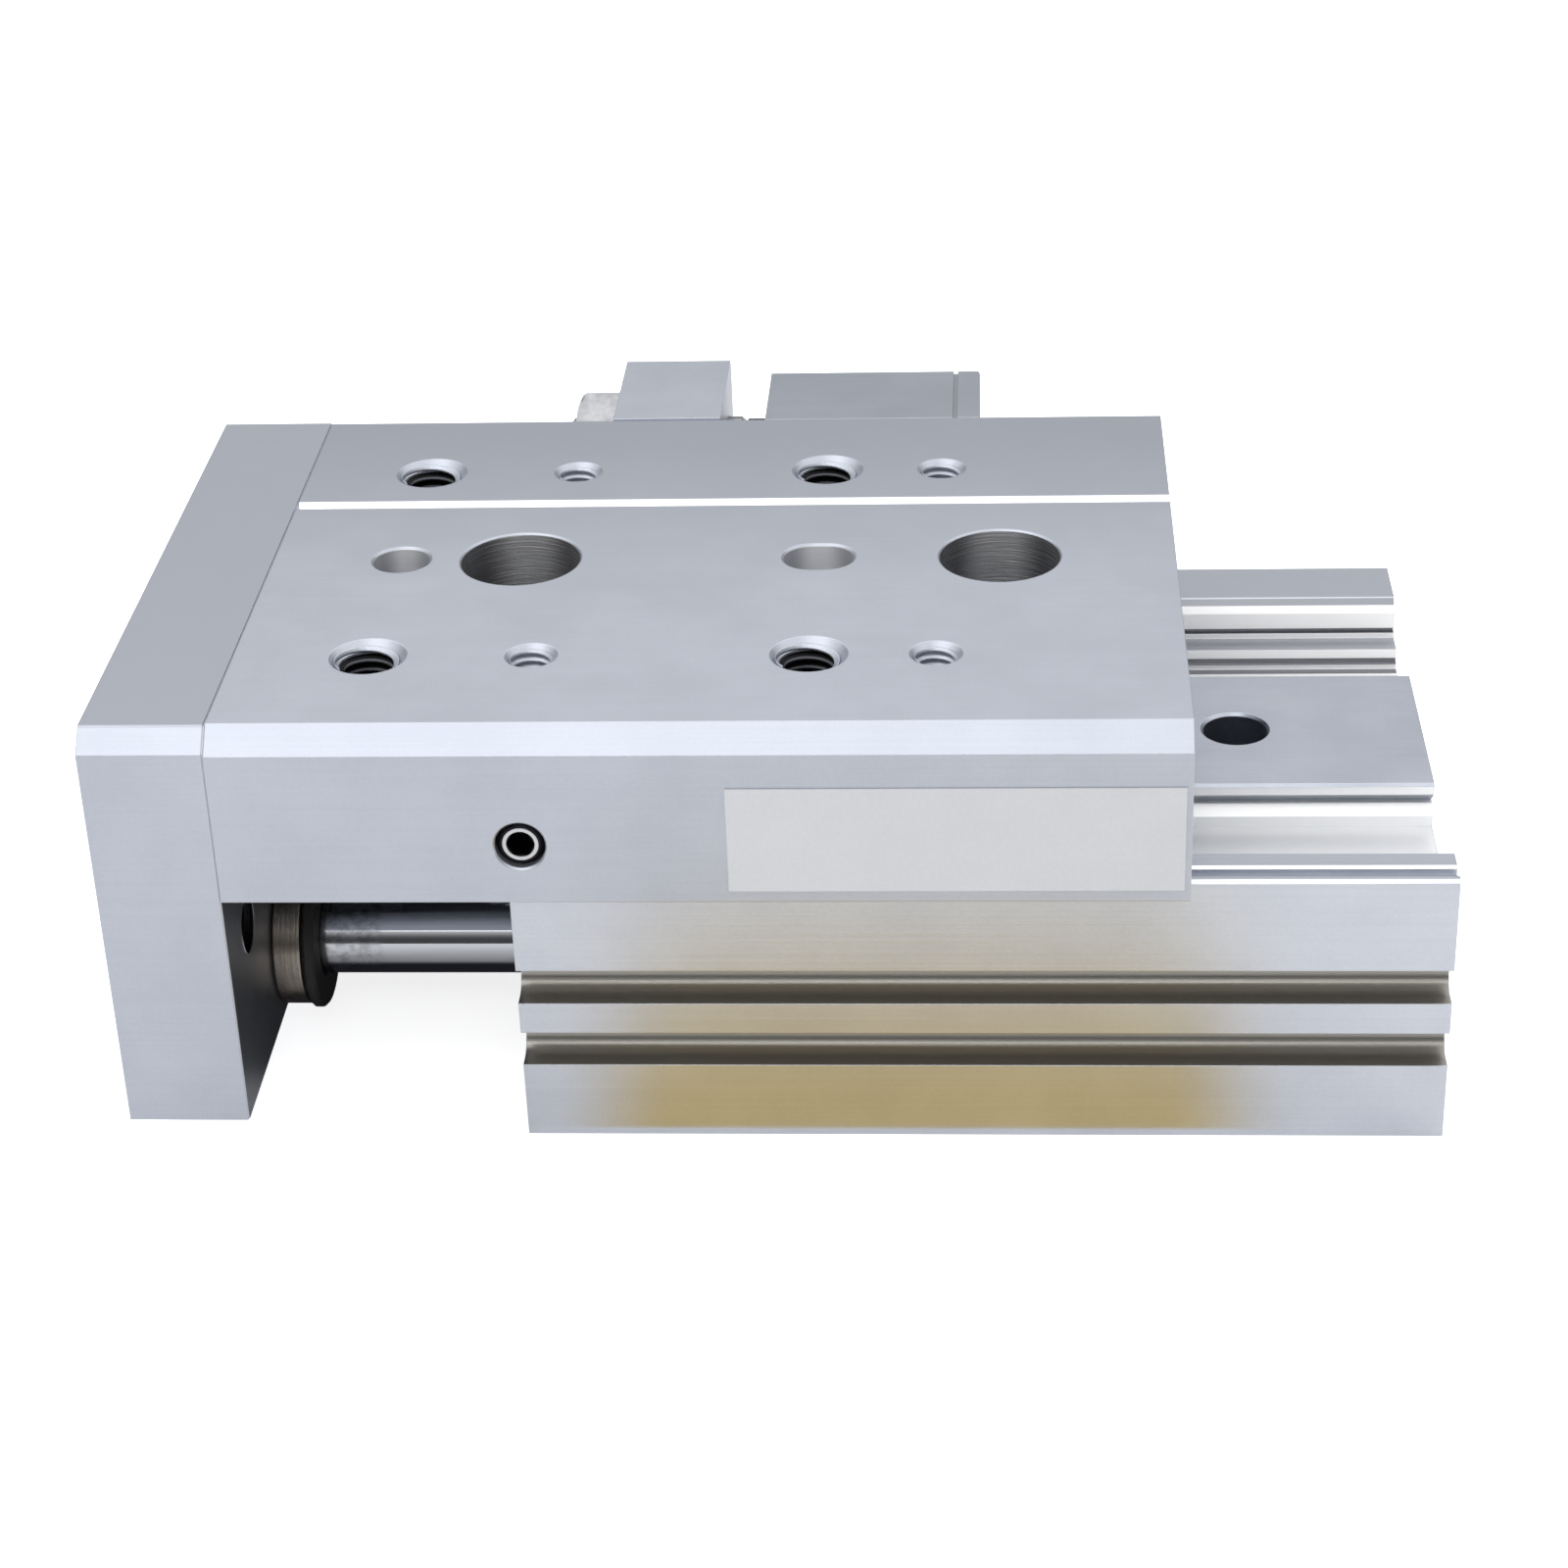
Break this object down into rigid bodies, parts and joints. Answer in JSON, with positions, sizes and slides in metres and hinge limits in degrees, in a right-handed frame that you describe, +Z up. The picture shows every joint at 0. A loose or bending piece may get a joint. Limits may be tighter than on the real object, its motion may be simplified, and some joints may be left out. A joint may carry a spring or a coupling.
{
  "type": "pneumatic slide table",
  "caption": "Compact air slide table: twin pistons in a flat body push a wide drilled table on a crossed roller guide, with an adjustable stop on one side.",
  "frame": {"origin": "centre of the body's mounting face, on the centre line between the two cylinders", "axes": "+X along the stroke, from the end plate towards the rear; +Y across, towards the stroke adjuster; +Z up from the mounting face"},
  "size_m": [0.1338, 0.0975, 0.0495],
  "materials": {
    "hard_anodised": "satin blue-grey hard anodised",
    "plain_aluminium": "turned",
    "ground_steel": "ground and hardened",
    "bright_steel": "polished",
    "dark_steel": "turned, oiled",
    "black_screws": "black oxide",
    "nickel": "nickel plated",
    "brass": "turned",
    "rubber": "matte",
    "urethane": "matte amber",
    "resin": "moulded resin",
    "magnet": "bonded magnet",
    "label_foil": "bare silver-grey foil"
  },
  "bodies": {
    "base": {"body": "hard_anodised", "guide_block": "ground_steel", "guide_screws": "black_screws", "guide_cage_stops": "bright_steel", "rod_cover_near": "brass", "rod_cover_far": "brass", "rod_seals": "rubber", "cover_rings": "black_screws", "head_cap_near": "resin", "head_cap_far": "resin", "cover_orings": "rubber", "head_orings": "rubber", "head_rings": "black_screws", "end_bumpers": "urethane", "port_plugs": "black_screws", "adjuster_block": "hard_anodised", "adjuster_block_screws": "black_screws", "adjuster_nut": "nickel"},
    "slider": {"table": "hard_anodised", "end_plate": "hard_anodised", "plate_screws": "black_screws", "rail_near": "ground_steel", "rail_far": "ground_steel", "rail_screws": "black_screws", "rail_cage_stops": "bright_steel", "side_set_screw": "black_screws", "label_plate": "label_foil", "rod_near": "bright_steel", "rod_far": "bright_steel", "rod_collars": "dark_steel", "rod_bumpers": "rubber", "rod_screws": "black_screws", "piston_near": "plain_aluminium", "piston_far": "plain_aluminium", "piston_seals": "rubber", "piston_magnets": "magnet", "stop_block": "hard_anodised", "stop_block_screws": "black_screws"},
    "near_cage": {"cage_near": "brass", "rollers_near": "bright_steel"},
    "far_cage": {"cage_far": "brass", "rollers_far": "bright_steel"},
    "adjuster_tip": {"adjuster_bumper": "rubber"},
    "adjuster_screw": {"adjuster_bolt": "nickel"}
  },
  "joints": [
    {"name": "table_slide", "type": "slide", "parent": "base", "child": "slider", "axis": [-1, 0, 0], "range_m": [-0.02, 0]},
    {"name": "near_cage_travel", "type": "slide", "parent": "base", "child": "near_cage", "axis": [-1, 0, 0], "range_m": [-0.01, 0]},
    {"name": "far_cage_travel", "type": "slide", "parent": "base", "child": "far_cage", "axis": [-1, 0, 0], "range_m": [-0.01, 0]},
    {"name": "adjuster_travel", "type": "slide", "parent": "base", "child": "adjuster_tip", "axis": [-1, 0, 0], "range_m": [0, 0.005]},
    {"name": "adjuster_turn", "type": "hinge", "parent": "adjuster_tip", "child": "adjuster_screw", "pos_m": [-0.04, 0.051, 0.0396], "axis": [-1, 0, 0], "range_deg": [0, 1440]}
  ],
  "couplings": [
    {"joint": "near_cage_travel", "follows": "table_slide", "ratio": 0.5},
    {"joint": "far_cage_travel", "follows": "table_slide", "ratio": 0.5},
    {"joint": "adjuster_turn", "follows": "adjuster_travel", "rad_per_m": 5026.5}
  ]
}
